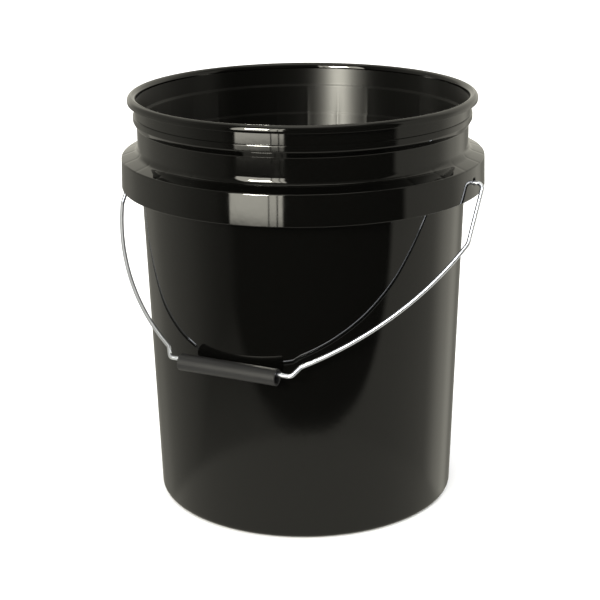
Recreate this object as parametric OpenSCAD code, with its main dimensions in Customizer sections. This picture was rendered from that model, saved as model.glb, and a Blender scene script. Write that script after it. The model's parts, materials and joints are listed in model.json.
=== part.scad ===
// Wash bucket: an open-head plastic pail with a wire bail and a tube grip.
// Millimetres, +Z up, origin at the bottom centre of the pail.
// X runs from bail ear to bail ear; the bail hangs against the -Y side.

/* [Pail] */
// overall height from the ground to the top of the rim
pail_height = 363; // [280:1:450]
// outer radius of the rim
rim_radius = 152.4; // [120:0.1:190]
// outer radius of the tapered body at the ground
base_radius = 133.5; // [100:0.1:170]
// wall thickness of body, neck and collar
wall = 2.3; // [1.6:0.1:3.5]
// how far the body's outer face stands in from the neck's, at the ledge
body_step = 1.3; // [0.5:0.1:3]
// radius of the outer corner between body and base
base_corner = 4.2; // [2:0.1:8]

/* [Rim] */
// radial width of the rounded rim
rim_width = 8.4; // [6:0.1:12]
// depth of the rim's down-turned lip
lip_depth = 6.2; // [5.4:0.1:8]
// thickness of the lip at its lower edge
lip_wall = 2.3; // [1.5:0.1:3.5]
// how far the lip leans in towards its lower edge
lip_lean = 0.6; // [0:0.1:1.2]
// depth of the groove hidden under the lip
lip_groove = 1; // [0.5:0.1:1.8]

/* [Lid band] */
// height of the plain band under the rim, to the top of the ring
band_height = 10.1; // [5:0.1:12]
// how far the ring stands out of the plain band
ring_step = 1.1; // [0.5:0.1:3]
// height of the ring's upright face
ring_height = 5.2; // [3:0.1:10]
// height of the slope from the ring in to the neck
ring_slope = 5.5; // [2:0.1:10]
// how far the neck stands in from the plain band
neck_step = 1.9; // [1:0.1:4]

/* [Skirt] */
// top edge of the skirt below the top of the rim
skirt_drop = 53.2; // [40:0.1:80]
// height of the skirt
skirt_height = 26.3; // [20:0.1:50]
// how far the skirt's lower edge stands out past the rim
skirt_reach = 7; // [3:0.1:12]
// how far the skirt leans in from its lower edge to its top
skirt_lean = 0.7; // [0:0.1:3]
// thickness of the skirt
skirt_wall = 2.3; // [1.5:0.1:3.5]
// rise of the sloping ledge from the skirt's edge to the neck
ledge_rise = 4.9; // [2:0.1:10]
// radius between the ledge and the neck
ledge_fillet = 6; // [2:0.1:10]
// radius of the skirt's upper edge
skirt_edge = 1.4; // [0.5:0.1:2]
// number of ribs between skirt and body
rib_count = 30; // [12:2:48]
// thickness of a rib
rib_wall = 1.5; // [1:0.1:3]
// height the ribs stop short of the skirt's lower edge
rib_lift = 4; // [1:0.1:10]

/* [Base] */
// height of the recess under the floor
foot_height = 5; // [3:0.1:10]
// radial width of the foot ring
foot_width = 7; // [5:0.1:12]
// how far the foot ring's inner face slopes outwards towards the ground
foot_draft = 0.6; // [0:0.1:2]
// thickness of the floor
floor_wall = 2.6; // [1.8:0.1:4]
// radius between the floor and the wall inside
floor_fillet = 5; // [2:0.1:10]
// radius of the stiffening ring under the floor
floor_ring = 62; // [40:1:90]
// height of the stiffening ring
floor_ring_height = 2.5; // [1:0.1:4]
// radius of the raised moulding spot in the middle of the floor's underside
gate_radius = 9; // [5:0.1:15]
// height of the moulding spot
gate_height = 1.2; // [0.5:0.1:3]

/* [Bail] */
// diameter of the bail wire
wire_diameter = 3.6; // [3:0.1:6]
// how much wider the bail holes in the skirt are than the wire
ear_play = 2.8; // [1:0.1:5]
// height of the bail's hinge line above the skirt's lower edge
ear_height = 13; // [8:0.1:17]
// clear gap under the wire where it rests in its hole
ear_gap = 0.3; // [0.2:0.1:1]
// distance from the skirt's lower edge out to the leg's centre line
leg_reach = 8; // [5:0.1:15]
// length of the straight leg below the hinge line
leg_length = 55.4; // [30:0.1:80]
// angle that the wire turns inwards at the end of the leg
leg_turn = 20; // [10:1:35]
// angle that the arch is set forward of the legs
knee_angle = 10; // [0:1:15]
// angle that the arch turns through on each side
arch_turn = 35.6; // [20:0.1:45]
// depth of the crank that keeps the grip in place
crank_depth = 10; // [8:0.1:20]
// angle of the crank to the bail's middle line
crank_angle = 28.5; // [10:0.5:45]
// distance from each end of the grip to the crank's lower corner
crank_gap = 11.3; // [6:0.1:20]
// length of the turned-up end inside the skirt
hook_length = 8; // [6:0.1:10]
// clear gap between the turned-up end and the inside of the skirt
hook_gap = 3; // [1:0.1:4]
// bend radius of the wire's centre line at its turned-up end
end_bend = 3.4; // [3.1:0.1:5]
// bend radius between the hinge line and the leg
top_bend = 5.5; // [3.1:0.1:8]
// bend radius between the leg and the arch
leg_bend = 12; // [4:0.1:30]
// bend radius between the arch and the crank
crank_bend = 6; // [3.1:0.1:12]
// bend radius between the crank and the stretch under the grip
grip_bend = 4.5; // [3.1:0.1:9]

/* [Grip] */
// length of the grip
grip_length = 91; // [70:1:120]
// how much wider the grip's bore is than the wire
grip_play = 6.4; // [2:0.1:12]
// wall thickness of the grip
grip_wall = 2.2; // [1.4:0.1:6]
// clear gap over the wire where the grip hangs on it
grip_gap = 0.6; // [0.3:0.1:2]
// bevel at the ends of the grip
grip_bevel = 0.6; // [0.2:0.1:2]
// clear gap between the grip and the pail's wall
rest_gap = 0.4; // [0.3:0.1:2]

/* [Hidden] */
$fn = 96;
// how far a cut runs past the face that it opens
over = 1;
// gap between two stretches of wire, and the half length and swell of its sleeve
joint_gap = 0.05;
joint_cover = 0.3;
joint_swell = 0.03;
// straight left between two bends, and the shortest one that is made as a rod
bend_gap = 2 * joint_gap;
shortest_rod = 4 * joint_cover;

// pail: radii
rim_inner = rim_radius - rim_width;
band_radius = rim_inner + wall;
neck_radius = band_radius - neck_step;
neck_inner = neck_radius - wall;
skirt_radius = rim_radius + skirt_reach;
skirt_top_radius = skirt_radius - skirt_lean;
body_top_radius = neck_radius - body_step;

// pail: heights
rim_centre = pail_height - rim_width / 2;
lip_bottom = pail_height - lip_depth;
ring_top = lip_bottom - band_height;
ring_bottom = ring_top - ring_height;
neck_top = ring_bottom - ring_slope;
skirt_top = pail_height - skirt_drop;
skirt_bottom = skirt_top - skirt_height;
ledge_top = skirt_top + ledge_rise;
ledge_slope = ledge_rise / (skirt_top_radius - neck_radius);
ledge_under = skirt_wall * sqrt(1 + ledge_slope * ledge_slope);
floor_top = foot_height + floor_wall;

// body wall as a straight line of radius against height
body_slope = (body_top_radius - base_radius) / ledge_top;
function body_radius(z) = base_radius + body_slope * z;

// bail: hinge and key distances in the bail's own frame
wire_radius = wire_diameter / 2;
ear_hole = wire_diameter + ear_play;
hinge_height = skirt_bottom + ear_height;
hole_rise = ear_hole / 2 - wire_radius - ear_gap;
drill_length = 4 * skirt_wall;
leg_x = skirt_radius + leg_reach;
hook_x = skirt_radius - skirt_wall - hook_gap - wire_radius;

// direction of a vector made one long
function unit(v) = v / norm(v);
// angle between two directions
function turn_between(a, b) = acos(unit(a) * unit(b));

// bail corners, drawn hanging straight down from the hinge line
straight_down = [0, 0, -1];
inwards = [-1, 0, 0];
down = [0, -sin(knee_angle), -cos(knee_angle)];
arch_end = leg_turn + arch_turn;
arch_in = sin(leg_turn) * inwards + cos(leg_turn) * down;
arch_out = sin(arch_end) * inwards + cos(arch_end) * down;
crank_way = unit(tan(crank_angle) * inwards + down);
knee_tangent = leg_bend * tan(turn_between(straight_down, arch_in) / 2) + bend_gap;
crank_tangent = crank_bend * tan(turn_between(arch_out, crank_way) / 2) + bend_gap;

// the arch takes the radius that brings the crank to the grip's ends
crank_x = grip_length / 2 + crank_gap;
knee_run = knee_tangent * sin(leg_turn);
crank_run = crank_tangent * sin(arch_end) + crank_depth * tan(crank_angle);
arch_tangent = (leg_x - crank_x - knee_run - crank_run) / (sin(leg_turn) + sin(arch_end));
arch_radius = arch_tangent / tan(arch_turn / 2);

hook_tip = [hook_x, 0, hook_length];
hook_corner = [hook_x, 0, 0];
leg_top = [leg_x, 0, 0];
leg_end = leg_top + leg_length * straight_down;
arch_corner = leg_end + (knee_tangent + arch_tangent) * arch_in;
crank_top = arch_corner + (arch_tangent + crank_tangent) * arch_out;
crank_end = crank_top + crank_depth / cos(crank_angle) * crank_way;
half_corners = [hook_tip, hook_corner, leg_top, leg_end, arch_corner, crank_top, crank_end];
half_bends = [0, end_bend, top_bend, leg_bend, arch_radius, crank_bend, grip_bend];
last_corner = len(half_corners) - 1;
bail_corners = concat(
    half_corners,
    [for (i = [last_corner : -1 : 0]) mirrored(half_corners[i])]
);
bail_bends = concat(half_bends, [for (i = [last_corner : -1 : 0]) half_bends[i]]);
// a corner's partner on the bail's other side
function mirrored(p) = [-p[0], p[1], p[2]];

// grip: hangs below the wire; the bail rests where the grip meets the wall
grip_line = [0, crank_end[1], crank_end[2]];
grip_bore = wire_diameter + grip_play;
grip_radius = grip_bore / 2 + grip_wall;
grip_drop = grip_bore / 2 - wire_radius - grip_gap;
grip_centre = grip_line + grip_drop * down;
swing_radius = norm(grip_centre);
swing_lead = atan2(-grip_centre[1], -grip_centre[2]);
wall_lean = atan(body_slope);
wall_reach = body_radius(hinge_height) * cos(wall_lean) + grip_radius + rest_gap;
rest_angle = asin(wall_reach / swing_radius) - wall_lean;

// length cut from each side of a corner by a round of radius r
function cut(a, b, c, r) = r / tan(turn_between(a - b, c - b) / 2);
// centre of the round that fits a corner
function round_centre(a, b, c, r) =
    b + unit(unit(a - b) + unit(c - b)) * r / sin(turn_between(a - b, c - b) / 2);
// point on the first leg of a corner where its round starts
function foot(a, b, c, r) = b + unit(a - b) * cut(a, b, c, r);

// corner filled up to its round: the triangle between the round's two ends
module corner_tip(a, b, c, r) {
    difference() {
        polygon([b, foot(a, b, c, r), round_centre(a, b, c, r), foot(c, b, a, r)]);
        translate(round_centre(a, b, c, r))
            circle(r);
    }
}

// outline of everything that is plastic or enclosed by it
module outline() {
    ledge_corner = [neck_radius, ledge_top];
    neck_corner = [neck_radius, neck_top];
    skirt_corner = [skirt_top_radius, skirt_top];
    skirt_foot = [skirt_radius, skirt_bottom];
    base_edge = [base_radius, 0];
    wall_up = [body_radius(skirt_bottom), skirt_bottom];
    difference() {
        polygon([
            [0, 0],
            base_edge,
            wall_up,
            skirt_foot,
            skirt_corner,
            ledge_corner,
            neck_corner,
            [band_radius + ring_step, ring_bottom],
            [band_radius + ring_step, ring_top],
            [band_radius, ring_top],
            [band_radius, lip_bottom + lip_groove],
            [rim_radius - lip_wall, lip_bottom + lip_groove],
            [rim_radius - lip_lean - lip_wall, lip_bottom],
            [rim_radius - lip_lean, lip_bottom],
            [rim_radius, rim_centre],
            [0, rim_centre]
        ]);
        corner_tip([0, 0], base_edge, wall_up, base_corner);
        corner_tip(skirt_foot, skirt_corner, ledge_corner, skirt_edge);
    }
    corner_tip(skirt_corner, ledge_corner, neck_corner, ledge_fillet);
    intersection() {
        translate([rim_radius - rim_width / 2, rim_centre])
            circle(rim_width / 2);
        translate([rim_inner, rim_centre])
            square([rim_width, rim_width]);
    }
}

// the space inside the pail
module inside() {
    floor_edge = [body_radius(floor_top) - wall, floor_top];
    wall_top = [body_radius(ledge_top) - wall, ledge_top];
    difference() {
        polygon([
            [0, floor_top],
            floor_edge,
            wall_top,
            [neck_inner, ledge_top + neck_step],
            [neck_inner, ring_bottom],
            [rim_inner, ring_bottom + neck_step],
            [rim_inner, pail_height + over],
            [0, pail_height + over]
        ]);
        corner_tip([0, floor_top], floor_edge, wall_top, floor_fillet);
    }
}

// the recess under the floor, with its stiffening ring and moulding spot left standing
module under_floor() {
    recess = base_radius - foot_width;
    difference() {
        polygon([
            [0, -over],
            [recess + foot_draft, -over],
            [recess, foot_height],
            [0, foot_height]
        ]);
        translate([floor_ring, foot_height - floor_ring_height])
            square([wall, floor_ring_height + over]);
        translate([0, foot_height - gate_height])
            square([gate_radius, gate_height + over]);
    }
}

// the space between skirt and body, open downwards
module pocket() {
    inner_top = body_radius(ledge_top);
    outer_top = skirt_top_radius - skirt_wall;
    polygon([
        [body_radius(skirt_bottom - over), skirt_bottom - over],
        [skirt_radius - skirt_wall, skirt_bottom - over],
        [outer_top, skirt_top + ledge_slope * skirt_wall - ledge_under],
        [inner_top, ledge_top + ledge_slope * (neck_radius - inner_top) - ledge_under]
    ]);
}

// one rib of the ring that carries the skirt, as a plate from body to skirt
module rib() {
    inner = body_radius(skirt_bottom) - wall / 2;
    outer = skirt_top_radius - skirt_wall / 2;
    low = skirt_bottom + rib_lift;
    rotate([90, 0, 0])
        translate([0, 0, -rib_wall / 2])
            linear_extrude(rib_wall)
                polygon([
                    [inner, low],
                    [outer, low],
                    [outer, skirt_top - skirt_wall / 2],
                    [inner, ledge_top - skirt_wall / 2]
                ]);
}

module pail() {
    color([0.03, 0.03, 0.03])
    difference() {
        union() {
            rotate_extrude()
                difference() {
                    outline();
                    inside();
                    under_floor();
                    pocket();
                }
            for (i = [0 : rib_count - 1])
                rotate([0, 0, (i + 0.5) * 360 / rib_count])
                    rib();
        }
        for (side = [-1, 1])
            translate([side * skirt_radius, 0, hinge_height + hole_rise])
                rotate([0, 90, 0])
                    cylinder(h = drill_length, d = ear_hole, center = true);
    }
}

// turns what is drawn along +Z to a direction
module aim(way) {
    rotate([0, acos(way[2] / norm(way)), atan2(way[1], way[0])])
        children();
}

// thin sleeve that closes the joint between two stretches of a rod
module joint_sleeve(way, length, r) {
    aim(way)
        cylinder(h = length, r = r + joint_swell, center = true);
}

// a round rod along a chain of corners, each corner bent to its own radius
module bent_rod(p, bends, r) {
    last = len(p) - 1;
    for (i = [0 : last - 1]) {
        start = i == 0 ? p[0] : foot(p[i + 1], p[i], p[i - 1], bends[i]);
        stop = i == last - 1 ? p[last] : foot(p[i], p[i + 1], p[i + 2], bends[i + 1]);
        way = stop - start;
        start_gap = i == 0 ? 0 : joint_gap;
        stop_gap = i == last - 1 ? 0 : joint_gap;
        if (norm(way) > shortest_rod) {
            translate(start + unit(way) * start_gap)
                aim(way)
                    cylinder(h = norm(way) - start_gap - stop_gap, r = r);
            for (joint = [if (i > 0) start, if (i < last - 1) stop])
                translate(joint)
                    joint_sleeve(way, 2 * joint_cover, r);
        } else {
            translate((start + stop) / 2)
                joint_sleeve(way, norm(way) + 2 * joint_cover, r);
        }
    }
    for (i = [1 : last - 1]) {
        middle = round_centre(p[i - 1], p[i], p[i + 1], bends[i]);
        x = unit(foot(p[i - 1], p[i], p[i + 1], bends[i]) - middle);
        z = unit(cross(p[i] - p[i - 1], p[i + 1] - p[i]));
        y = cross(z, x);
        turn = turn_between(p[i] - p[i - 1], p[i + 1] - p[i]);
        multmatrix([
            [x[0], y[0], z[0], middle[0]],
            [x[1], y[1], z[1], middle[1]],
            [x[2], y[2], z[2], middle[2]],
            [0, 0, 0, 1]
        ])
            rotate_extrude(angle = turn)
                translate([bends[i], 0])
                    circle(r);
    }
}

// places what is drawn hanging straight down at the bail's rest pose
module at_rest() {
    translate([0, 0, hinge_height])
        rotate([swing_lead - rest_angle, 0, 0])
            children();
}

module bail() {
    color([0.8, 0.8, 0.8])
    at_rest()
        bent_rod(bail_corners, bail_bends, wire_radius);
}

module grip() {
    color([0.12, 0.12, 0.12])
    at_rest()
        translate(grip_centre)
            rotate([0, 90, 0])
                rotate_extrude()
                    polygon([
                        [grip_bore / 2, -grip_length / 2 + grip_bevel],
                        [grip_bore / 2 + grip_bevel, -grip_length / 2],
                        [grip_radius - grip_bevel, -grip_length / 2],
                        [grip_radius, -grip_length / 2 + grip_bevel],
                        [grip_radius, grip_length / 2 - grip_bevel],
                        [grip_radius - grip_bevel, grip_length / 2],
                        [grip_bore / 2 + grip_bevel, grip_length / 2],
                        [grip_bore / 2, grip_length / 2 - grip_bevel]
                    ]);
}

pail();
bail();
grip();
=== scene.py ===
"""Wash bucket: a black moulded pail with a wire bail and a loose grip, dressed around its
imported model."""

import json
import math

import bpy
import numpy as np
from mathutils import Matrix, Vector


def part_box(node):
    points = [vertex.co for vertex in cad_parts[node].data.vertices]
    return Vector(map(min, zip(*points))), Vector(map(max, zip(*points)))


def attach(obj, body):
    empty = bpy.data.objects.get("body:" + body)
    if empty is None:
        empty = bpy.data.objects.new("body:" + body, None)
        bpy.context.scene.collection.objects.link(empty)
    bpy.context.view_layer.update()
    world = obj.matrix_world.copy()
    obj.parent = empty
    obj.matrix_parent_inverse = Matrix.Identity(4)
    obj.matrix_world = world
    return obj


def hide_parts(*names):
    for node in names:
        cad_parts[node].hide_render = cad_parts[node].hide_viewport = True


bl_info = {
    "name": "Wash Bucket",
    "version": (1, 0, 0),
    "blender": (4, 5, 0),
    "location": "3D View > Sidebar > Bucket",
    "description": "Builds a moulded wash bucket with its wire bail and grip",
    "category": "Object",
}

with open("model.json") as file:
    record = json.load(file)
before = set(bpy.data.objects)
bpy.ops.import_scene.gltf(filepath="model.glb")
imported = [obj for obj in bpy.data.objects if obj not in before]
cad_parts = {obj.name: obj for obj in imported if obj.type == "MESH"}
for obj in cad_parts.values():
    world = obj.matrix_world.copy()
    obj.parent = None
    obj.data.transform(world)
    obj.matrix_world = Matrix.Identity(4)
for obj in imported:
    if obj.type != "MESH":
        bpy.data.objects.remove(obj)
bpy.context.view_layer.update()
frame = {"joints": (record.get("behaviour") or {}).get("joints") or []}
PAIL_LOW, PAIL_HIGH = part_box("pail")
GRIP_LOW, GRIP_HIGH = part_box("grip")
HINGE = {joint["name"]: joint["pos_m"] for joint in frame["joints"]}
MM = 0.001
FULL_TURN = 2 * math.pi


def size(label, about, default):
    """A length that the user can change, given in millimetres and kept in metres."""
    return bpy.props.FloatProperty(
        name=label, description=about, default=default * MM, min=0, unit="LENGTH", precision=5
    )


def angle(label, about, default):
    """An angle that the user can change, given in degrees and kept in radians."""
    return bpy.props.FloatProperty(
        name=label, description=about, default=math.radians(default), subtype="ANGLE"
    )


def share(label, about, default):
    """A plain number from 0 to 1 that the user can change."""
    return bpy.props.FloatProperty(
        name=label, description=about, default=default, min=0, max=1, subtype="FACTOR"
    )


def colour(label, about, default):
    """A colour that the user can change."""
    return bpy.props.FloatVectorProperty(
        name=label, description=about, default=default, size=3, min=0, max=1, subtype="COLOR"
    )


class PailSizes(bpy.types.PropertyGroup):
    """Sizes of the moulded pail."""

    base_radius: size("Base radius", "Outer radius at the foot", 133.5)
    wall: size("Wall", "Thickness of the pail's wall", 2.3)
    base_corner: size("Base corner", "Round between wall and foot", 4.2)
    rim_radius: size("Rim radius", "Outer radius of the rolled rim", 152.4)
    rim_width: size("Rim width", "Width of the rolled rim", 8.4)
    lip_depth: size("Lip depth", "How far the rim's lip hangs below its top", 6.2)
    lip_lean: size("Lip lean", "How far the lip leans in at its lower edge", 0.6)
    lip_groove: size("Lip groove", "Height of the groove behind the lip", 1.0)
    band_height: size("Band height", "Plain band between lip and ring", 10.1)
    ring_step: size("Ring step", "How far the ring stands out of the band", 1.1)
    ring_height: size("Ring height", "Height of the ring's straight face", 5.2)
    ring_slope: size("Ring slope", "Height over which the ring falls back to the neck", 5.5)
    neck_step: size("Neck step", "How far the neck lies inside the band", 1.9)
    body_step: size("Body step", "How far the body lies inside the neck", 1.3)
    skirt_drop: size("Skirt drop", "Depth of the skirt's upper edge below the rim", 53.2)
    skirt_height: size("Skirt height", "Height of the skirt", 26.3)
    skirt_lean: size("Skirt lean", "How far the skirt leans in at its upper edge", 0.7)
    skirt_edge: size("Skirt edge", "Round on the skirt's upper edge", 1.4)
    ledge_rise: size("Ledge rise", "How far the ledge climbs from skirt to neck", 4.9)
    ledge_fillet: size("Ledge fillet", "Round between ledge and neck", 6.0)
    foot_height: size("Foot height", "Depth of the recess under the floor", 5.0)
    foot_width: size("Foot width", "Width of the ring that the pail stands on", 7.0)
    foot_draft: size("Foot draft", "How far the recess widens towards the ground", 0.5)
    floor_wall: size("Floor thickness", "Thickness of the floor", 2.6)
    floor_fillet: size("Floor fillet", "Round between floor and inner wall", 5.0)
    floor_ring: size("Floor ring", "Inner radius of the stiffening ring under the floor", 62.0)
    floor_ring_height: size("Floor ring height", "Height of the stiffening ring", 2.5)
    gate_radius: size("Gate radius", "Radius of the moulding spot under the floor", 9.0)
    gate_height: size("Gate height", "Height of the moulding spot", 1.2)
    ear_hole: size("Ear hole", "Diameter of the holes that the bail hooks into", 6.4)
    ear_rise: size("Ear rise", "Height of the holes' centre above the hinge line", 1.1)
    rib_wall: size("Rib thickness", "Thickness of the ribs behind the skirt", 1.5)
    rib_lift: size("Rib lift", "Gap between the ribs and the skirt's lower edge", 4.0)
    rib_count: bpy.props.IntProperty(
        name="Ribs", description="Ribs behind the skirt", default=30, min=6, max=60
    )
    sink_depth: size("Sink depth", "Depth of the sink marks that the ribs leave", 0.16)
    soft_edge: size("Soft edge", "Round on the remaining edges", 0.55)


class BailSizes(bpy.types.PropertyGroup):
    """Sizes of the bent wire bail, drawn hanging straight down from its hinge line."""

    wire: size("Wire", "Diameter of the wire", 3.6)
    hook_length: size("Hook length", "Length of the turned-up ends", 8.0)
    hook_x: size("Hook reach", "Distance of the turned-up ends from the middle", 152.3)
    leg_x: size("Leg reach", "Distance of the straight legs from the middle", 167.4)
    leg_length: size("Leg length", "Length of the straight legs", 55.4)
    leg_turn: angle("Leg turn", "Turn from leg to arch", 20.0)
    arch_turn: angle("Arch turn", "Turn along the arch", 35.6)
    arch_radius: size("Arch radius", "Radius of the arch", 275.009)
    knee: angle("Knee", "How far the arch leans forward of the legs", 10.0)
    crank_depth: size("Crank depth", "Depth of the step down to the grip", 10.0)
    crank_angle: angle("Crank angle", "Slant of the step down to the grip", 28.5)
    end_bend: size("End bend", "Bend where the wire turns up inside the skirt", 3.4)
    top_bend: size("Top bend", "Bend where the wire turns down outside the skirt", 5.5)
    leg_bend: size("Leg bend", "Bend between leg and arch", 12.0)
    crank_bend: size("Crank bend", "Bend between arch and step", 6.0)
    grip_bend: size("Grip bend", "Bend between step and grip wire", 4.5)
    bend_gap: size("Bend gap", "Straight wire left between two bends", 0.1)
    end_round: size("End round", "Round on the cut ends of the wire", 0.5)
    rest_turn: angle("Rest turn", "How far the bail is swung at rest", -38.50323)


class GripSizes(bpy.types.PropertyGroup):
    """Sizes of the tube that turns on the bail's straight wire."""

    bore: size("Bore", "Diameter of the grip's bore", 10.0)
    wall: size("Wall", "Thickness of the grip's wall", 2.2)
    edge: size("Edge", "Round on the grip's ends", 0.6)


class Finishes(bpy.types.PropertyGroup):
    """Colours and gloss of the materials."""

    plastic: colour("Pail plastic", "Body colour of the moulded pail", (0.0005, 0.0005, 0.00045))
    plastic_gloss: share("Pail roughness", "Roughness of the pail's polished outside", 0.035)
    inside_gloss: share("Inside roughness", "Roughness of the pail's drawn inside", 0.44)
    inside_grain: share("Inside grain", "How far the inside's fine rings stretch a highlight", 1.0)
    zinc: colour("Wire zinc", "Colour of the galvanised wire", (0.84, 0.87, 0.94))
    zinc_gloss: share("Wire roughness", "Roughness of the galvanised wire", 0.33)
    rubber: colour("Grip plastic", "Body colour of the grip", (0.012, 0.012, 0.0125))
    rubber_gloss: share("Grip roughness", "Roughness of the grip", 0.42)
    floor: colour("Floor", "Colour of the studio floor", (0.90, 0.90, 0.90))


class StudioSetup(bpy.types.PropertyGroup):
    """Where the camera stands and how bright the studio is."""

    distance: size("Distance", "Camera's level distance from the pail's axis", 1337.7)
    height: size("Height", "Camera's height above the floor", 608.6)
    offset: size("Offset", "How far the camera stands left of the line through the axis", 3.97)
    turn: angle("Turn", "Camera's turn about the pail from straight in front", 26.0)
    pitch: angle("Pitch", "How far the camera looks down", 18.08)
    roll: angle("Roll", "How far the camera is rolled clockwise", 0.60)
    lens: bpy.props.FloatProperty(
        name="Lens", description="Focal length in millimetres on a 36 mm sensor", default=93.16
    )
    floor_size: size("Floor size", "Radius of the floor", 12000.0)


# ---------------------------------------------------------------- shapes


# a turn smaller than this, in radians, takes no arc
STRAIGHT = 1e-4


def rounded_path(corners, radii, stray, support=0.18):
    """A chain of corners with every corner replaced by an arc.
    A round of radius r cuts r / tan(half the inner angle) off both legs; its centre lies on the
    bisector at r / sin(half the inner angle). A support point stands on each leg just before and
    just after the arc, so that the shading of a long flat stays flat. Every arc has as many
    steps as keep its chords within stray of it. A corner with no round stays as it is.
    Returns the points and, for each, the number of the corner it belongs to."""
    corners = np.asarray(corners, float)
    points, owners = [corners[:1]], [0]
    for i in range(1, len(corners) - 1):
        before, here, after = corners[i - 1 : i + 2]
        back, ahead = before - here, after - here
        back_length, ahead_length = np.linalg.norm(back), np.linalg.norm(ahead)
        back, ahead = back / back_length, ahead / ahead_length
        inner = math.acos(np.clip(back @ ahead, -1, 1))
        turn = math.pi - inner
        if radii[i] <= 0 or turn < STRAIGHT:
            points.append(here[None])
            owners.append(i)
            continue
        reach = radii[i] / math.tan(inner / 2)
        bisector = (back + ahead) / np.linalg.norm(back + ahead)
        centre = here + bisector * radii[i] / math.sin(inner / 2)
        first = (here + back * reach - centre) / radii[i]
        steps = max(2, math.ceil(turn / (2 * math.acos(1 - stray / radii[i]))))
        t = np.linspace(0, turn, steps + 1)[:, None]
        arc = centre + radii[i] * (np.cos(t) * first - np.sin(t) * back)
        far = reach + support * radii[i]
        lead = [here + back * far] if far < back_length / 2 else []
        tail = [here + ahead * far] if far < ahead_length / 2 else []
        block = np.vstack([*lead, arc, *tail])
        points.append(block)
        owners += [i] * len(block)
    points.append(corners[-1:])
    owners.append(len(corners) - 1)
    return np.vstack(points), np.array(owners)


def grid_faces(rows, columns, closed_rows=False):
    """Quads of a grid of points, numbered row by row, whose columns close into a ring.
    Columns run anticlockwise and rows run so that the faces look outwards."""
    i = np.arange(rows if closed_rows else rows - 1)[:, None]
    j = np.arange(columns)[None]
    i2, j2 = (i + 1) % rows, (j + 1) % columns
    corners = [i * columns + j, i * columns + j2, i2 * columns + j2, i2 * columns + j]
    return np.stack(np.broadcast_arrays(*corners), -1)


def mesh_object(name, points, quads, triangles, materials, material_index=None):
    """An object at the origin from whole arrays of points, quads and triangles.
    Points that no face uses are dropped. Returns the object and the numbers of its points."""
    quads = np.asarray(quads, int).reshape(-1, 4)
    triangles = np.asarray(triangles, int).reshape(-1, 3)
    loops = np.concatenate([quads.ravel(), triangles.ravel()])
    used, loops = np.unique(loops, return_inverse=True)
    sizes = np.concatenate([np.full(len(quads), 4), np.full(len(triangles), 3)])
    starts = np.concatenate([[0], np.cumsum(sizes)[:-1]])
    mesh = bpy.data.meshes.new(name)
    mesh.vertices.add(len(used))
    mesh.vertices.foreach_set("co", np.asarray(points, np.float32)[used].ravel())
    mesh.loops.add(len(loops))
    mesh.loops.foreach_set("vertex_index", loops.astype(np.int32))
    mesh.polygons.add(len(sizes))
    mesh.polygons.foreach_set("loop_start", starts.astype(np.int32))
    for material in materials:
        mesh.materials.append(material)
    if material_index is not None:
        mesh.polygons.foreach_set("material_index", np.asarray(material_index, np.int32))
    mesh.update(calc_edges=True)
    mesh.shade_smooth()
    if mesh.validate():
        raise RuntimeError(f"the mesh of {name} had faults")
    made = bpy.data.objects.new(name, mesh)
    bpy.context.scene.collection.objects.link(made)
    return made, used


def turned(radius, height, azimuth):
    """Points of a profile turned about the upright axis: (r cos a, r sin a, z)."""
    return np.stack(
        np.broadcast_arrays(radius * np.cos(azimuth), radius * np.sin(azimuth), height), -1
    )


# ---------------------------------------------------------------- pail


# grid cells from an ear hole's centre to its edge, and to the edge of the redrawn block
HOLE_CELLS = 4
BLOCK_CELLS = 7
BLOCK_SPAN = np.arange(-BLOCK_CELLS, BLOCK_CELLS + 1)
# how far the rings between the two draw in towards the hole, in cells for each ring
RING_PULL = 0.35
# round on a hole's edge, in cells, and the rows across the wall as shares of its thickness
HOLE_EDGE = 0.3
TUBE_ROWS = (0.12, 0.5, 0.88)
# grid lines on each side of a rib, as shares of the ribs' pitch
NEAR_RIB = np.array([0.035, 0.08, 0.16, 0.3])
# rows of the inner wall over the ribs, and of the body, the latter as shares of the height
SINK_ROWS = 7
BODY_ROWS = np.arange(0.1, 0.8, 0.1)
# height over which a sink mark fades in, in rib lifts
SINK_FADE = 4
# steps of a half round on a rib's lower edge
RIB_STEPS = 5
# largest distance between an arc and its chords
PAIL_STRAY = 0.02 * MM
WIRE_STRAY = 0.004 * MM
# path points closer together than this, in metres, are one
SAME_PLACE = 1e-6
# how far past the round on its end the wire's path begins, as a multiple of the round
END_CLEAR = 1.01
# points around the wire and the grip, and steps of the round on the wire's ends
WIRE_SIDES = 28
GRIP_SIDES = 72
END_STEPS = 5
# longest stretch of wire between two rings, in wire diameters
WIRE_STRETCH = 6


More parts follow.
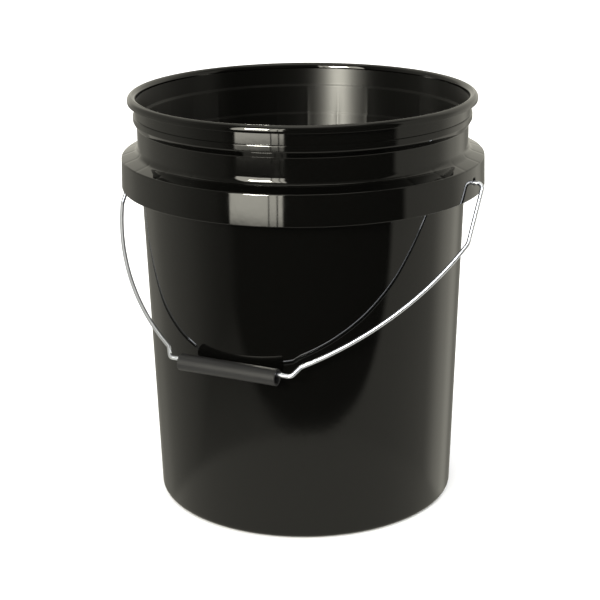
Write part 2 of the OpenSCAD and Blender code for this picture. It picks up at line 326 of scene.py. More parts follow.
def pail_section(s):
    """The pail's half section as (part, radius, height, round) corners, from the underside's
    middle out to the foot, up the outside, over the rim and down the inside to the floor."""
    top = PAIL_HIGH[2]
    rim_inner = s.rim_radius - s.rim_width
    band = rim_inner + s.wall
    neck = band - s.neck_step
    neck_inner = neck - s.wall
    skirt = PAIL_HIGH[0]
    skirt_head = skirt - s.skirt_lean
    lip_low = top - s.lip_depth
    ring_high = lip_low - s.band_height
    ring_low = ring_high - s.ring_height
    neck_high = ring_low - s.ring_slope
    skirt_high = top - s.skirt_drop
    skirt_low = skirt_high - s.skirt_height
    ledge_high = skirt_high + s.ledge_rise
    slope = s.ledge_rise / (skirt_head - neck)
    under = s.wall * math.hypot(1, slope)
    body_top = neck - s.body_step
    lean = (body_top - s.base_radius) / ledge_high
    recess = s.base_radius - s.foot_width
    ring = s.floor_ring
    ring_foot = s.foot_height - s.floor_ring_height
    gate_foot = s.foot_height - s.gate_height
    floor = s.foot_height + s.floor_wall
    edge = s.soft_edge
    sharp = 0.6 * edge
    pocket_in = ledge_high + slope * (neck - body_top) - under
    pocket_out = skirt_high + slope * s.wall - under
    return [
        ("underside", 0, gate_foot, 0),
        ("underside", s.gate_radius, gate_foot, edge),
        ("underside", s.gate_radius, s.foot_height, edge),
        ("underside", ring, s.foot_height, edge),
        ("underside", ring, ring_foot, edge),
        ("underside", ring + s.wall, ring_foot, edge),
        ("underside", ring + s.wall, s.foot_height, edge),
        ("underside", recess, s.foot_height, 2 * edge),
        ("foot", recess + s.foot_draft, 0, edge),
        ("wall foot", s.base_radius, 0, s.base_corner),
        ("body", s.base_radius + lean * pocket_in, pocket_in, 2 * edge),
        ("pocket", skirt_head - s.wall, pocket_out, 2 * edge),
        ("skirt inside", skirt - s.wall, skirt_low, edge),
        ("skirt foot", skirt, skirt_low, edge),
        ("skirt", skirt_head, skirt_high, s.skirt_edge),
        ("ledge", neck, ledge_high, s.ledge_fillet),
        ("neck", neck, neck_high, 2 * edge),
        ("ring", band + s.ring_step, ring_low, 2 * edge),
        ("ring", band + s.ring_step, ring_high, 0.9 * s.ring_step),
        ("band", band, ring_high, 0.08 * s.ring_step),
        ("groove", band, lip_low + s.lip_groove, sharp),
        ("groove", s.rim_radius - s.wall, lip_low + s.lip_groove, sharp),
        ("lip", s.rim_radius - s.lip_lean - s.wall, lip_low, sharp),
        ("lip", s.rim_radius - s.lip_lean, lip_low, sharp),
        ("rim", s.rim_radius, top, 0.47 * s.rim_width),
        ("mouth", rim_inner, top, 0.5 * s.rim_width),
        ("inside", rim_inner, ring_low + s.neck_step, 2 * edge),
        ("inside", neck_inner, ring_low, 2 * edge),
        ("inside", neck_inner, ledge_high + s.neck_step, 2 * edge),
        ("inner wall", body_top - s.wall, ledge_high, 2 * edge),
        ("inside", s.base_radius + lean * floor - s.wall, floor, s.floor_fillet),
        ("floor", 0, floor, 0),
    ]


def with_rows(points, owners, index, heights):
    """Adds rows at given heights on the straight run that leaves corner number index."""
    last = np.flatnonzero(owners == index)[-1]
    a, b = points[last], points[last + 1]
    t = (np.asarray(heights) - a[1]) / (b[1] - a[1])
    t = np.sort(t[(t > 0.01) & (t < 0.99)])[:, None]
    fresh = a + t * (b - a)
    points = np.vstack([points[: last + 1], fresh, points[last + 1 :]])
    owners = np.concatenate([owners[: last + 1], np.full(len(fresh), index), owners[last + 1 :]])
    return points, owners


def rib_azimuths(count):
    """Azimuths of the ribs: evenly spaced, with the bail's holes halfway between two ribs."""
    return (np.arange(count) + 0.5) * FULL_TURN / count


def pail_azimuths(s, radius):
    """Azimuths of the pail's grid: close together at each rib and at both ear holes."""
    pitch = FULL_TURN / s.rib_count
    offsets = np.concatenate([-NEAR_RIB[::-1], [0], NEAR_RIB, [0.5]]) * pitch
    lines = (rib_azimuths(s.rib_count)[:, None] + offsets).ravel()
    cell = s.ear_hole / 2 / HOLE_CELLS / radius
    block = BLOCK_SPAN * cell
    clear = (BLOCK_CELLS + 1) * cell
    for ear in (0, math.pi, FULL_TURN):
        lines = lines[np.abs(lines - ear) > clear]
    lines = np.concatenate([lines, block, block + math.pi])
    return np.sort(np.mod(lines, FULL_TURN))


def sink_marks(s, points, azimuth):
    """How far the skin sinks over the ribs: a smooth dip at each rib's azimuth,
    depth * exp(-(arc length / width)^2), which fades in above the ribs' lower ends."""
    ribs = rib_azimuths(s.rib_count)
    away = np.abs(np.mod(azimuth[:, None] - ribs + math.pi, FULL_TURN) - math.pi).min(1)
    low = PAIL_HIGH[2] - s.skirt_drop - s.skirt_height + s.rib_lift
    radius, height = points.T
    dip = np.exp(-((away[None] * radius[:, None] / s.rib_wall) ** 2))
    fade = np.clip((height - low) / (SINK_FADE * s.rib_lift), 0, 1)
    return dip * fade[:, None] * s.sink_depth


class Skin:
    """The pail's skin as a grid: one row for each point of the rounded section and one column
    for each azimuth. Every grid point has a radius, a height and an azimuth of its own."""

    def __init__(self, s):
        section = pail_section(s)
        self.names = [part for part, *_ in section]
        corners = np.array([[r, z] for _, r, z, _ in section])
        self.corner = dict(zip(self.names, corners))
        points, owners = rounded_path(corners, [c[3] for c in section], PAIL_STRAY)
        self.cell = s.ear_hole / 2 / HOLE_CELLS
        self.hole_height = HINGE["bail_swing"][2] + s.ear_rise
        hole_rows = self.hole_height + self.cell * BLOCK_SPAN
        skirt_low = PAIL_HIGH[2] - s.skirt_drop - s.skirt_height
        extra_rows = {
            "skirt foot": hole_rows,
            "pocket": hole_rows,
            "inner wall": skirt_low + s.rib_lift + np.arange(SINK_ROWS) * s.rib_lift,
            "wall foot": PAIL_HIGH[2] * BODY_ROWS,
        }
        for name, heights in extra_rows.items():
            points, owners = with_rows(points, owners, self.names.index(name), heights)
        self.points, self.owners = points, owners
        self.azimuth = pail_azimuths(s, PAIL_HIGH[0])
        self.rows, self.columns = len(points), len(self.azimuth)
        self.radius = np.repeat(points[:, :1], self.columns, 1)
        self.height = np.repeat(points[:, 1:], self.columns, 1)
        self.across = np.repeat(self.azimuth[None], self.rows, 0)
        self.keep = np.ones((self.rows - 1, self.columns), bool)

    def on(self, *names):
        """Which rows lie on the rounds of these corners or on the runs that leave them."""
        return np.isin(np.array(self.names)[self.owners], names)

    def sink(self, s):
        """Lowers the ledge and widens the inner wall over the ribs."""
        sunk = sink_marks(s, self.points, self.azimuth)
        low = self.height < PAIL_HIGH[2] - s.skirt_drop + 2 * s.ledge_rise
        inside = self.on("inside", "inner wall")[:, None] & low
        ledge = self.on("skirt", "ledge")[:, None]
        self.radius = self.radius + np.where(inside, sunk, 0)
        self.height = self.height - np.where(ledge, sunk, 0)

    def cut_hole(self, ear, face, outwards):
        """Draws the grid's square rings about an ear hole round on one face of the skirt, and
        cuts the faces inside out. Ring m keeps its direction and takes the radius m cells, and
        past the hole the rings go back to squares. The hole's own ring is set into the wall by
        the round on its edge. Returns that ring's point numbers in order."""
        turn = np.mod(self.azimuth - ear + math.pi, FULL_TURN) - math.pi
        centre_column = int(np.abs(turn).argmin())
        on_face = np.flatnonzero(self.on(face))
        centre_row = on_face[np.abs(self.points[on_face, 1] - self.hole_height).argmin()]
        flip = 1 if self.points[centre_row + 1, 1] > self.points[centre_row, 1] else -1
        j, i = np.meshgrid(BLOCK_SPAN, BLOCK_SPAN)
        row, column = centre_row + i * flip, (centre_column + j) % self.columns
        ring = np.maximum(np.abs(i), np.abs(j))
        length = np.hypot(i, j) + (ring == 0)
        pulled = ring - RING_PULL * (BLOCK_CELLS - ring)
        round_radius = self.cell * np.where(ring > HOLE_CELLS, pulled, ring)
        roundness = np.clip((BLOCK_CELLS - ring) / (BLOCK_CELLS - HOLE_CELLS - 1), 0, 1)
        u, v = (
            roundness * k / length * round_radius + (1 - roundness) * k * self.cell
            for k in (j, i)
        )
        run = self.points[on_face][::flip]
        skin = np.interp(self.hole_height + v.ravel(), run[:, 1], run[:, 0]).reshape(v.shape)
        skin = skin + outwards * (ring == HOLE_CELLS) * HOLE_EDGE * self.cell
        self.across[row, column] = ear + np.arcsin(u / skin)
        self.height[row, column] = self.hole_height + v
        self.radius[row, column] = skin
        inner = (np.minimum(i, j) >= -HOLE_CELLS) & (np.maximum(i, j) < HOLE_CELLS)
        self.keep[np.minimum(row, row + flip)[inner], column[inner]] = False
        edge = ring == HOLE_CELLS
        order = np.argsort(np.arctan2(i[edge], j[edge]))
        return (row * self.columns + column)[edge][order]


def hole_wall(points, outer, inner, first):
    """The wall of an ear hole, between its rings on the skirt's outer and inner face.
    Returns its new points, which are numbered from first, and its quads."""
    a, b = points[outer], points[inner]
    fresh = np.vstack([a + t * (b - a) for t in TUBE_ROWS])
    numbers = first + np.arange(len(fresh)).reshape(len(TUBE_ROWS), -1)
    loops = np.vstack([outer, numbers, inner])
    following = np.roll(loops, -1, 1)
    quads = np.stack([loops[:-1], following[:-1], following[1:], loops[1:]], -1)
    return fresh, quads.reshape(-1, 4)


def build_pail(s, materials):
    """The pail's skin is its section turned about the axis and closed by a pole at the
    underside's and the floor's middle. The ear holes' walls and the ribs are added to it."""
    skin = Skin(s)
    skin.sink(s)
    faces = (("skirt foot", -1), ("pocket", 1))
    holes = [[skin.cut_hole(ear, *face) for face in faces] for ear in (0, math.pi)]
    grid = turned(skin.radius, skin.height, skin.across).reshape(-1, 3)
    poles = np.array([[0, 0, skin.points[0, 1]], [0, 0, skin.points[-1, 1]]])
    points = [grid, poles]
    total = len(grid) + len(poles)

    # the first and last row of quads run into the poles, where fans take their place
    keep = skin.keep[1:-1]
    drawn = skin.on("inside", "inner wall", "floor")[:-1]
    drawn[np.flatnonzero(skin.on("mouth"))[-1]] = True
    quads = [grid_faces(skin.rows, skin.columns)[1:-1][keep]]
    kinds = [np.repeat(drawn[1:-1, None], skin.columns, 1)[keep]]
    ring = np.arange(skin.columns)
    following = np.roll(ring, -1)
    low_fan, high_fan = skin.columns, (skin.rows - 2) * skin.columns
    middle = np.full(skin.columns, len(grid))
    fans = [
        np.stack([middle, low_fan + following, low_fan + ring], -1),
        np.stack([middle + 1, high_fan + ring, high_fan + following], -1),
    ]
    for outer, inner in holes:
        fresh, wall = hole_wall(grid, outer, inner, total)
        points.append(fresh)
        quads.append(wall)
        total += len(fresh)
    rib_points, rib_quads = pail_ribs(s, skin.corner)
    points.append(rib_points)
    quads.append(rib_quads + total)
    kinds += [np.zeros(len(added), bool) for added in quads[1:]]
    kinds += [np.zeros(skin.columns, bool), np.ones(skin.columns, bool)]
    return mesh_object(
        "pail_shell", np.vstack(points), np.vstack(quads), np.vstack(fans), materials,
        np.concatenate(kinds),
    )[0]


def pail_ribs(s, corner):
    """The ribs behind the skirt: a plate with a rounded lower edge, carried from body to skirt
    and turned to each rib's azimuth. Its ends are sunk in the walls and its top in the ledge."""
    base, body_top, pocket = corner["wall foot"], corner["body"], corner["pocket"]
    low = corner["skirt inside"][1] + s.rib_lift
    lean = (body_top[0] - base[0]) / body_top[1]
    inner = base[0] + lean * low - s.wall / 2
    outer = pocket[0] + s.wall / 2
    half = s.rib_wall / 2
    t = np.linspace(0, math.pi, RIB_STEPS + 1)
    across = np.concatenate([[-half], -half * np.cos(t), [half]])
    rise = half - half * np.sin(t)
    tops = np.array([body_top[1], pocket[1]]) + s.wall / 2
    reach = np.array([inner, outer])
    heights = np.stack([np.concatenate([[top], low + rise, [top]]) for top in tops])
    x, y, z = np.broadcast_arrays(reach[:, None], across[None], heights)
    columns = x.shape[1]
    azimuth = rib_azimuths(s.rib_count)
    c, n = np.cos(azimuth)[:, None, None], np.sin(azimuth)[:, None, None]
    points = np.stack(np.broadcast_arrays(x * c - y * n, x * n + y * c, z), -1)
    side = grid_faces(2, columns).reshape(-1, 4)
    k = np.arange(columns // 2)
    strip = np.stack([k[:-1], k[1:], columns - 1 - k[1:], columns - 1 - k[:-1]], -1)
    one = np.vstack([side, strip[:, ::-1], strip + columns])
    first = np.arange(s.rib_count) * 2 * columns
    return points.reshape(-1, 3), (one[None] + first[:, None, None]).reshape(-1, 4)


# ---------------------------------------------------------------- bail and grip


def bail_corners(s):
    """Corners and bends of half the bail in its own frame: x outwards, z up, the hinge line at
    the origin. The arch's corner lies where its two tangents meet."""
    straight_down, inwards = np.array([0, 0, -1.0]), np.array([-1.0, 0, 0])
    down = np.array([0, -math.sin(s.knee), -math.cos(s.knee)])
    arch_end = s.leg_turn + s.arch_turn
    arch_in = math.sin(s.leg_turn) * inwards + math.cos(s.leg_turn) * down
    arch_out = math.sin(arch_end) * inwards + math.cos(arch_end) * down
    crank = math.tan(s.crank_angle) * inwards + down
    crank_unit = crank / np.linalg.norm(crank)
    knee_tangent = s.leg_bend * math.tan(math.acos(straight_down @ arch_in) / 2) + s.bend_gap
    crank_tangent = s.crank_bend * math.tan(math.acos(arch_out @ crank_unit) / 2) + s.bend_gap
    arch_tangent = s.arch_radius * math.tan(s.arch_turn / 2)
    hook_tip = np.array([s.hook_x, 0, s.hook_length])
    hook_corner = np.array([s.hook_x, 0, 0])
    leg_top = np.array([s.leg_x, 0, 0])
    leg_end = leg_top + s.leg_length * straight_down
    arch_corner = leg_end + (knee_tangent + arch_tangent) * arch_in
    crank_top = arch_corner + (arch_tangent + crank_tangent) * arch_out
    crank_end = crank_top + s.crank_depth / math.cos(s.crank_angle) * crank_unit
    half = np.array([hook_tip, hook_corner, leg_top, leg_end, arch_corner, crank_top, crank_end])
    bends = [0, s.end_bend, s.top_bend, s.leg_bend, s.arch_radius, s.crank_bend, s.grip_bend]
    mirrored = half[::-1] * [-1, 1, 1]
    return np.vstack([half, mirrored]), bends + bends[::-1]


def wire_route(s):
    """The bail's path with its long straights divided, and the direction at each point."""
    corners, bends = bail_corners(s)
    path, _ = rounded_path(corners, bends, WIRE_STRAY, support=0)
    gaps = np.linalg.norm(np.diff(path, axis=0), axis=1)
    path = path[np.concatenate([[True], gaps > SAME_PLACE])]
    long = np.linalg.norm(np.diff(path, axis=0), axis=1)
    pieces = np.maximum(1, np.ceil(long / (WIRE_STRETCH * s.wire)).astype(int))
    steps = [np.arange(n) / n + i for i, n in enumerate(pieces)]
    at = np.concatenate([*steps, [len(path) - 1.0]])
    path = np.stack([np.interp(at, np.arange(len(path)), path[:, k]) for k in range(3)], -1)
    tangent = np.gradient(path, axis=0)
    return path, tangent / np.linalg.norm(tangent, axis=1, keepdims=True)


def lengths_along(path):
    """The length of a path from its start to each of its points."""
    return np.concatenate([[0], np.cumsum(np.linalg.norm(np.diff(path, axis=0), axis=1))])


def build_bail(s, material):
    """The bail is a circle carried along the bent path and drawn in over the rounds on its two
    ends. The circle's first direction is the part of the y axis that is square to the path,
    which never runs along y. The attribute wire_place holds each point's place on the straight
    wire: across it in x and y, along it in z."""
    path, tangent = wire_route(s)
    along = lengths_along(path)
    r, e = s.wire / 2, s.end_round
    quarter = np.linspace(0, math.pi / 2, END_STEPS + 1)
    cap_radius = (r - e) + e * np.sin(quarter)
    cap_depth = (e - e * np.cos(quarter))[:, None]
    start = path[0] + cap_depth * tangent[0]
    stop = path[-1] - cap_depth[::-1] * tangent[-1]
    inner = (along > e * END_CLEAR) & (along < along[-1] - e * END_CLEAR)
    centre = np.vstack([start, path[inner], stop])
    ends = [np.repeat(way[None], len(start), 0) for way in (tangent[0], tangent[-1])]
    way = np.vstack([ends[0], tangent[inner], ends[1]])
    radius = np.concatenate([cap_radius, np.full(inner.sum(), r), cap_radius[::-1]])
    across = np.array([0, 1.0, 0]) - way[:, 1:2] * way
    across /= np.linalg.norm(across, axis=1, keepdims=True)
    other = np.cross(way, across)
    around = np.linspace(0, FULL_TURN, WIRE_SIDES, endpoint=False)
    c, n = np.cos(around), np.sin(around)
    ring = c[None, :, None] * across[:, None] + n[None, :, None] * other[:, None]
    points = centre[:, None] + radius[:, None, None] * ring
    rows, columns = points.shape[:2]
    distance = lengths_along(centre)
    place = np.stack(np.broadcast_arrays(r * c[None], r * n[None], distance[:, None]), -1)
    place = np.vstack([place.reshape(-1, 3), [[0, 0, 0]], [[0, 0, distance[-1]]]])
    points = np.vstack([points.reshape(-1, 3), centre[:1], centre[-1:]])
    turn = np.array(Matrix.Rotation(s.rest_turn, 3, "X"))
    points = points @ turn.T + np.array(HINGE["bail_swing"])
    k = np.arange(columns)
    following = np.roll(k, -1)
    middle = np.full(columns, rows * columns)
    last = (rows - 1) * columns
    caps = np.vstack([
        np.stack([middle, following, k], -1),
        np.stack([middle + 1, last + k, last + following], -1),
    ])
    quads = grid_faces(rows, columns).reshape(-1, 4)
    made, used = mesh_object("bail_wire", points, quads, caps, [material])
    store = made.data.attributes.new("wire_place", "FLOAT_VECTOR", "POINT")
    store.data.foreach_set("vector", place[used].astype(np.float32).ravel())
    return made


def build_grip(s, material):
    """The grip is a closed ring section turned about the bail's straight wire."""
    centre = np.array(HINGE["grip_spin"])
    half = (GRIP_HIGH[0] - GRIP_LOW[0]) / 2
    outer, inner = s.bore / 2 + s.wall, s.bore / 2
    corners = [[0, outer], [half, outer], [half, inner], [-half, inner], [-half, outer], [0, outer]]
    path, _ = rounded_path(corners, [0, *[s.edge] * 4, 0], WIRE_STRAY)
    x, r = path[:-1, :1], path[:-1, 1:]
    around = np.linspace(0, FULL_TURN, GRIP_SIDES, endpoint=False)
    points = np.stack(
        np.broadcast_arrays(
            centre[0] + x, centre[1] + r * np.cos(around), centre[2] + r * np.sin(around)
        ), -1,
    )
    quads = grid_faces(len(x), GRIP_SIDES, closed_rows=True)
    return mesh_object("grip_tube", points.reshape(-1, 3), quads, (), [material])[0]


# ---------------------------------------------------------------- shaders


def math_method(operation, swapped=False):
    """A method of Value that adds one Math node, with its two numbers swapped if need be."""

    def method(self, *others):
        inputs = [*others, self] if swapped else [self, *others]
        return self.graph.node("ShaderNodeMath", {"operation": operation}, inputs)

    return method


class Value:
    """A shader socket that takes part in Python arithmetic; each operator adds a Math node."""

    def __init__(self, graph, socket):
        self.graph, self.socket = graph, socket

    __add__, __radd__ = math_method("ADD"), math_method("ADD", True)
    __sub__, __rsub__ = math_method("SUBTRACT"), math_method("SUBTRACT", True)
    __mul__, __rmul__ = math_method("MULTIPLY"), math_method("MULTIPLY", True)
    __truediv__, __rtruediv__ = math_method("DIVIDE"), math_method("DIVIDE", True)
    __pow__, __abs__ = math_method("POWER"), math_method("ABSOLUTE")
    maximum, minimum = math_method("MAXIMUM"), math_method("MINIMUM")
    arctan2, arcsine = math_method("ARCTAN2"), math_method("ARCSINE")

    def __neg__(self):
        return self * -1

    def above(self, edge, soft):
        """0 below edge and 1 above it, with a smooth step of width soft on each side."""
        return self.graph.node(
            "ShaderNodeMapRange",
            {"interpolation_type": "SMOOTHSTEP"},
            {"Value": self, "From Min": edge - soft, "From Max": edge + soft},
        )


class Graph:
    """A node tree that is filled by node()."""

    def __init__(self, tree):
        self.tree = tree
        tree.nodes.clear()

    def node(self, kind, settings=None, inputs=None, output=0):
        """Adds a node, makes its settings, then fills its sockets with numbers or links."""
        made = self.tree.nodes.new(kind)
        for key, value in (settings or {}).items():
            setattr(made, key, value)
        items = inputs.items() if isinstance(inputs, dict) else enumerate(inputs or [])
        for key, value in items:
            if isinstance(value, Value):
                self.tree.links.new(value.socket, made.inputs[key])
            else:
                made.inputs[key].default_value = value
        return Value(self, made.outputs[output]) if made.outputs else made

    def noise(self, place, scale, detail=2.0, roughness=0.5):
        """Smooth noise from 0 to 1 at so many cells to the metre."""
        inputs = {"Vector": place, "Scale": scale, "Detail": detail, "Roughness": roughness}
        return self.node("ShaderNodeTexNoise", {}, inputs)

    def mix(self, share_of_second, first, second):
        """A colour between two colours."""
        return self.node(
            "ShaderNodeMix", {"data_type": "RGBA"}, {0: share_of_second, 6: first, 7: second}, 2
        )

    def split(self, vector):
        """The three numbers of a vector."""
        first = self.node("ShaderNodeSeparateXYZ", {}, [vector])
        return [Value(self, socket) for socket in first.socket.node.outputs]

    def scaled(self, vector, scale):
        """A vector with each of its numbers multiplied."""
        return self.node("ShaderNodeVectorMath", {"operation": "MULTIPLY"}, [vector, scale])

    def bump(self, height, distance):
        """A normal tilted by a height that runs from 0 to distance metres."""
        inputs = {"Strength": 1.0, "Distance": distance, "Height": height}
        return self.node("ShaderNodeBump", {}, inputs)


# refractive index of polyethylene and of the grip's plastic
PLASTIC_IOR = 1.5
# turn of the stretched highlights, as a share of a full turn: upright
UPRIGHT = 0.25


def new_material(name):
    """A material with an empty node tree, and the graph that fills it."""
    material = bpy.data.materials.new(name)
    material.use_nodes = True
    return material, Graph(material.node_tree)


def finish_material(graph, **sockets):
    """Ends a material in one Principled shader with the given sockets."""
    inputs = {name.replace("_", " "): value for name, value in sockets.items()}
    shader = graph.node("ShaderNodeBsdfPrincipled", {}, inputs)
    graph.node("ShaderNodeOutputMaterial", {}, {"Surface": shader})


def rgba(rgb, factor=1.0):
    """A property's colour with its alpha, made lighter or darker."""
    return (*(min(1.0, channel * factor) for channel in rgb), 1.0)


def outside_plastic(f):
    """Polished black plastic: a faint orange-peel skin, and soft handling marks that show
    only where they dull the gloss."""
    material, g = new_material("pail black gloss")
    place = g.node("ShaderNodeTexCoord", {}, {}, "Object")
    peel = g.noise(place, 170.0, 1.0)
    flow = g.noise(g.scaled(place, (9.0, 9.0, 3.0)), 1.0, 3.0)
    scratches = g.noise(g.scaled(place, (900.0, 900.0, 60.0)), 1.0, 2.0, 0.6).above(0.66, 0.05)
    handled = g.noise(place, 14.0, 4.0, 0.65).above(0.60, 0.12)
    roughness = f.plastic_gloss + 0.02 * flow + 0.03 * handled + 0.05 * scratches * handled
    tint = g.mix(handled * 0.5, rgba(f.plastic), rgba(f.plastic, 1.35))
    normal = g.bump(peel, 0.0035 * MM)
    finish_material(g, Base_Color=tint, Roughness=roughness, Normal=normal, IOR=PLASTIC_IOR)
    return material


def inside_plastic(f):
    """The inside: the mould core's fine rings stretch every highlight upright."""
    material, g = new_material("pail black inside")
    place = g.node("ShaderNodeTexCoord", {}, {}, "Object")
    _, _, height = g.split(place)
    rings = g.noise(g.scaled(place, (4.0, 4.0, 1500.0)), 1.0, 2.0)
    cloudy = g.noise(place, 22.0, 3.0)
    roughness = f.inside_gloss + 0.05 * (cloudy - 0.5)
    normal = g.bump(rings, 0.002 * MM)
    tint = g.mix(cloudy * 0.4, rgba(f.plastic), rgba(f.plastic, 1.3))
    finish_material(
        g, Base_Color=tint, Roughness=roughness, Normal=normal, IOR=PLASTIC_IOR,
        Anisotropic=f.inside_grain, Anisotropic_Rotation=UPRIGHT,
    )
    return material


def wire_zinc(f):
    """Galvanised wire: draw lines that follow the wire, and a cloudy zinc skin."""
    material, g = new_material("bail zinc wire")
    place = g.node("ShaderNodeAttribute", {"attribute_name": "wire_place"}, {}, "Vector")
    lines = g.noise(g.scaled(place, (2600.0, 2600.0, 25.0)), 1.0, 2.0)
    cloudy = g.noise(g.scaled(place, (500.0, 500.0, 160.0)), 1.0, 3.0)
    roughness = f.zinc_gloss + 0.14 * (cloudy - 0.5) + 0.08 * (lines - 0.5)
    tint = g.mix(cloudy, rgba(f.zinc, 0.86), rgba(f.zinc, 1.06))
    normal = g.bump(lines, 0.012 * MM)
    finish_material(g, Base_Color=tint, Metallic=1.0, Roughness=roughness, Normal=normal)
    return material


def grip_plastic(f):
    """Satin plastic of the grip: fine grain with lengthwise rub marks."""
    material, g = new_material("grip satin plastic")
    place = g.node("ShaderNodeTexCoord", {}, {}, "Object")
    grain = g.noise(place, 1400.0, 3.0)
    rubbed = g.noise(g.scaled(place, (40.0, 260.0, 260.0)), 1.0, 3.0)
    roughness = f.rubber_gloss + 0.10 * (rubbed - 0.5)
    tint = g.mix(rubbed, rgba(f.rubber, 0.85), rgba(f.rubber, 1.2))
    normal = g.bump(grain, 0.01 * MM)
    finish_material(g, Base_Color=tint, Roughness=roughness, Normal=normal, IOR=PLASTIC_IOR)
    return material


def studio_floor(f):
    """Pale matt floor that is seen from above only."""
    material, g = new_material("studio floor")
    place = g.node("ShaderNodeTexCoord", {}, {}, "Object")
    cloudy = g.noise(place, 3.0, 3.0)
    tint = g.mix(cloudy, rgba(f.floor, 0.99), rgba(f.floor, 1.01))
    paint = g.node("ShaderNodeBsdfDiffuse", {}, {"Color": tint})
    clear = g.node("ShaderNodeBsdfTransparent")
    behind = g.node("ShaderNodeNewGeometry", {}, {}, "Backfacing")
    surface = g.node("ShaderNodeMixShader", {}, [behind, paint, clear])
    g.node("ShaderNodeOutputMaterial", {}, {"Surface": surface})
    return material


# ---------------------------------------------------------------- studio


WHITE = (1.0, 1.0, 1.0, 1.0)
WARM = (1.0, 0.97, 0.84, 1.0)
# the soft box that the pail's gloss mirrors, in degrees right of and above the camera's
# direction, with its two dark bars
BOX_SIDES = (-45.5, -13.0)
BOX_RISES = (-12.3, 40)
BOX_BARS = ((-21.2, -20.5), (-16.4, -15.6))
# brightness of the room's parts, where 1 is plain white
BOX_GLOW = 7.6
SCREEN_GLOW = 0.05
GROUND_GLOW = 0.62
CEILING_GLOW = 0.8
MATT_GLOW = 2.0
# the ground's far edge and the side walls' near edge, in degrees
GROUND_EDGE = -26.5
LEFT_EDGE, RIGHT_EDGE = 54, 64
# each lamp's name, the piece it lights, its degrees right of and above the camera's direction,
# its distance in metres, its width and height in metres, its watts and its tint
LAMPS = (
    ("lamp over the rim", "pail_shell", -28.5, 18, 1.6, 0.40, 0.3, 85.0, WARM[:3]),
    ("lamp on the wire", "bail_wire", -10, 40, 1.8, 1.6, 1.2, 42.0, WHITE[:3]),
)
FLOOR_SIDES = 96
# gap between the pail's foot and the floor
FLOOR_GAP = 0.1 * MM
# the camera's sensor in millimetres and its far limit in metres
SENSOR = 36.0
CLIP_END = 100.0


def between(value, limits, soft):
    """1 between two limits and 0 outside them."""
    low, high = limits
    return value.above(low, soft) * (1 - value.above(high, soft))


def room_brightness(g, s):
    """What the pail's gloss mirrors in each direction: a tall soft box front left, a dark
    screen behind the camera, grey side walls whose lower edge is curved, and a pale ground."""
    x, y, z = g.split(g.node("ShaderNodeTexCoord", {}, {}, "Generated"))
    c, n = math.cos(s.turn), math.sin(s.turn)
    right = x * c + y * n
    away = y * c - x * n
    degree = 180 / math.pi
    side = right.arctan2(-away) * degree
    rise = z.arcsine() * degree

    # the walls' near edges close in below the horizon, along a curve
    sag = ((-18 - rise) / 8.5).maximum(0).minimum(1)
    narrow = (1 - sag ** 2.2) ** 0.45
    left_wall = SCREEN_GLOW + 0.10 * (-side).above(52, 6) + 0.27 * (-side).above(78, 24)
    left_wall = left_wall.maximum(0.38 * (-side).above(LEFT_EDGE * narrow, 5) * sag)
    right_wall = SCREEN_GLOW + 0.50 * side.above(RIGHT_EDGE * narrow, 2.5)
    right_wall = right_wall + 0.35 * side.above(112, 9)
    leftwards = 1 - side.above(0, 1)
    room = left_wall * leftwards + right_wall * (1 - leftwards)

    behind = abs(side).above(146, 10)
    room = room * (1 - behind) + (0.3 + 0.55 * rise.above(-6, 8)) * behind
    high = rise.above(42, 8)
    room = room * (1 - high) + (0.15 + 0.5 * abs(side).above(105, 12)) * high
    room = room + CEILING_GLOW * rise.above(68, 4)
    ground = 1 - rise.above(GROUND_EDGE, 0.3)
    room = room * (1 - ground) + GROUND_GLOW * ground

    box = between(side, BOX_SIDES, 0.7) * between(rise, BOX_RISES, 0.4)
    for bar in BOX_BARS:
        box = box * (1 - between(side, bar, 0.2))
    return room * (1 - box) + BOX_GLOW * box


def light_room(s):
    """The room around the pail as one world. Seen directly it is white, on matt surfaces it
    shines evenly, and in the pail's gloss it is the room above."""
    world = bpy.data.worlds.new("studio room")
    world.use_nodes = True
    bpy.context.scene.world = world
    g = Graph(world.node_tree)
    glows = ((WARM, room_brightness(g, s)), (WHITE, MATT_GLOW), (WHITE, 1.0))
    mirrored, matt, plain = (
        g.node("ShaderNodeBackground", {}, {"Color": tint, "Strength": glow})
        for tint, glow in glows
    )
    on_matt = g.node("ShaderNodeLightPath", {}, {}, "Is Diffuse Ray")
    seen = g.node("ShaderNodeLightPath", {}, {}, "Is Camera Ray")
    lit = g.node("ShaderNodeMixShader", {}, [on_matt, mirrored, matt])
    both = g.node("ShaderNodeMixShader", {}, [seen, lit, plain])
    g.node("ShaderNodeOutputWorld", {}, {"Surface": both})


def lay_floor(s, material):
    """A round floor just below the height that the pail stands on."""
    around = np.linspace(0, FULL_TURN, FLOOR_SIDES, endpoint=False)
    height = PAIL_LOW[2] - FLOOR_GAP
    points = np.vstack([turned(s.floor_size, height, around), [[0, 0, height]]])
    k = np.arange(FLOOR_SIDES)
    triangles = np.stack([k, np.roll(k, -1), np.full(FLOOR_SIDES, FLOOR_SIDES)], -1)
    made, _ = mesh_object("studio_floor", points, [], triangles, [material])
    made.visible_glossy = False


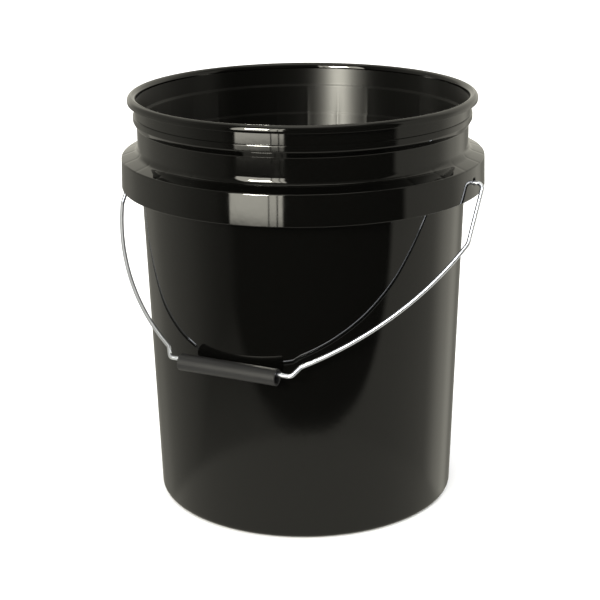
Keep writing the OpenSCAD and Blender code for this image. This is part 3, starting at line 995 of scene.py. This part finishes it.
def light_lamps(s):
    """The soft rectangular lamps. Each faces the middle of the pail's mouth and lights one
    piece only."""
    c, n = math.cos(s.turn), math.sin(s.turn)
    middle = Vector((0, 0, PAIL_HIGH[2]))
    for name, lit_name, side, rise, reach, width, height, watts, tint in LAMPS:
        side, rise = math.radians(side), math.radians(rise)
        across, towards = math.sin(side) * math.cos(rise), math.cos(side) * math.cos(rise)
        way = Vector((across * c + towards * n, across * n - towards * c, math.sin(rise)))
        lamp = bpy.data.lights.new(name, "AREA")
        lamp.shape, lamp.size, lamp.size_y = "RECTANGLE", width, height
        lamp.energy, lamp.color = watts, tint
        made = bpy.data.objects.new(name, lamp)
        made.location = middle + reach * way
        made.rotation_euler = way.to_track_quat("Z", "Y").to_euler()
        made.visible_camera = False
        bpy.context.scene.collection.objects.link(made)
        lit = bpy.data.collections.new("lit by the " + name)
        lit.objects.link(bpy.data.objects[lit_name])
        made.light_linking.receiver_collection = lit


def stand_camera(s):
    """The camera looks level with its turn, then down by its pitch, then is rolled."""
    c, n = math.cos(s.turn), math.sin(s.turn)
    right, level = Vector((c, n, 0)), Vector((-n, c, 0))
    forward = level * math.cos(s.pitch) - Vector((0, 0, 1)) * math.sin(s.pitch)
    up = right.cross(forward)
    rolled_right = right * math.cos(s.roll) - up * math.sin(s.roll)
    rolled_up = up * math.cos(s.roll) + right * math.sin(s.roll)
    place = -right * s.offset - level * s.distance + Vector((0, 0, s.height))
    camera = bpy.data.cameras.new("camera")
    camera.lens, camera.sensor_width = s.lens, SENSOR
    camera.clip_end = CLIP_END
    made = bpy.data.objects.new("camera", camera)
    turn = Matrix((rolled_right, rolled_up, -forward)).transposed().to_4x4()
    made.matrix_world = Matrix.Translation(place) @ turn
    bpy.context.scene.collection.objects.link(made)
    bpy.context.scene.camera = made


# ---------------------------------------------------------------- add-on


class BUCKET_OT_pail(bpy.types.Operator):
    """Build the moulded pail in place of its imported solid"""

    bl_idname = "bucket.pail"
    bl_label = "Pail"

    def execute(self, context):
        sizes, finishes = context.scene.bucket_pail, context.scene.bucket_finishes
        made = build_pail(sizes, [outside_plastic(finishes), inside_plastic(finishes)])
        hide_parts("pail")
        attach(made, "pail")
        return {"FINISHED"}


class BUCKET_OT_bail(bpy.types.Operator):
    """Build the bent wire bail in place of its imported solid"""

    bl_idname = "bucket.bail"
    bl_label = "Bail"

    def execute(self, context):
        made = build_bail(context.scene.bucket_bail, wire_zinc(context.scene.bucket_finishes))
        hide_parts("bail")
        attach(made, "bail")
        return {"FINISHED"}


class BUCKET_OT_grip(bpy.types.Operator):
    """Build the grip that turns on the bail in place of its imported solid"""

    bl_idname = "bucket.grip"
    bl_label = "Grip"

    def execute(self, context):
        made = build_grip(context.scene.bucket_grip, grip_plastic(context.scene.bucket_finishes))
        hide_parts("grip")
        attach(made, "grip")
        return {"FINISHED"}


class BUCKET_OT_studio(bpy.types.Operator):
    """Set up the pale floor, the room's light and the camera"""

    bl_idname = "bucket.studio"
    bl_label = "Studio"

    def execute(self, context):
        setup = context.scene.bucket_studio
        context.scene.view_settings.view_transform = "Standard"
        light_room(setup)
        lay_floor(setup, studio_floor(context.scene.bucket_finishes))
        light_lamps(setup)
        stand_camera(setup)
        return {"FINISHED"}


class BUCKET_PT_panel(bpy.types.Panel):
    """Lists the bucket's sizes, finishes and build steps"""

    bl_label = "Wash Bucket"
    bl_idname = "BUCKET_PT_panel"
    bl_space_type = "VIEW_3D"
    bl_region_type = "UI"
    bl_category = "Bucket"

    def draw(self, context):
        for group, (_, operators) in GROUPS.items():
            box = self.layout.box()
            for operator in operators:
                box.operator(operator.bl_idname)
            settings = getattr(context.scene, group)
            for name in settings.bl_rna.properties.keys():
                if name not in ("name", "rna_type"):
                    box.prop(settings, name)


GROUPS = {
    "bucket_pail": (PailSizes, [BUCKET_OT_pail]),
    "bucket_bail": (BailSizes, [BUCKET_OT_bail]),
    "bucket_grip": (GripSizes, [BUCKET_OT_grip]),
    "bucket_finishes": (Finishes, []),
    "bucket_studio": (StudioSetup, [BUCKET_OT_studio]),
}


def register():
    for group, (settings, operators) in GROUPS.items():
        for cls in (settings, *operators):
            bpy.utils.register_class(cls)
        setattr(bpy.types.Scene, group, bpy.props.PointerProperty(type=settings))
    bpy.utils.register_class(BUCKET_PT_panel)


def unregister():
    bpy.utils.unregister_class(BUCKET_PT_panel)
    for group, (settings, operators) in GROUPS.items():
        delattr(bpy.types.Scene, group)
        for cls in (settings, *operators):
            bpy.utils.unregister_class(cls)


def main():
    register()
    bpy.ops.bucket.pail()
    bpy.ops.bucket.bail()
    bpy.ops.bucket.grip()
    bpy.ops.bucket.studio()


if __name__ == "__main__":
    main()
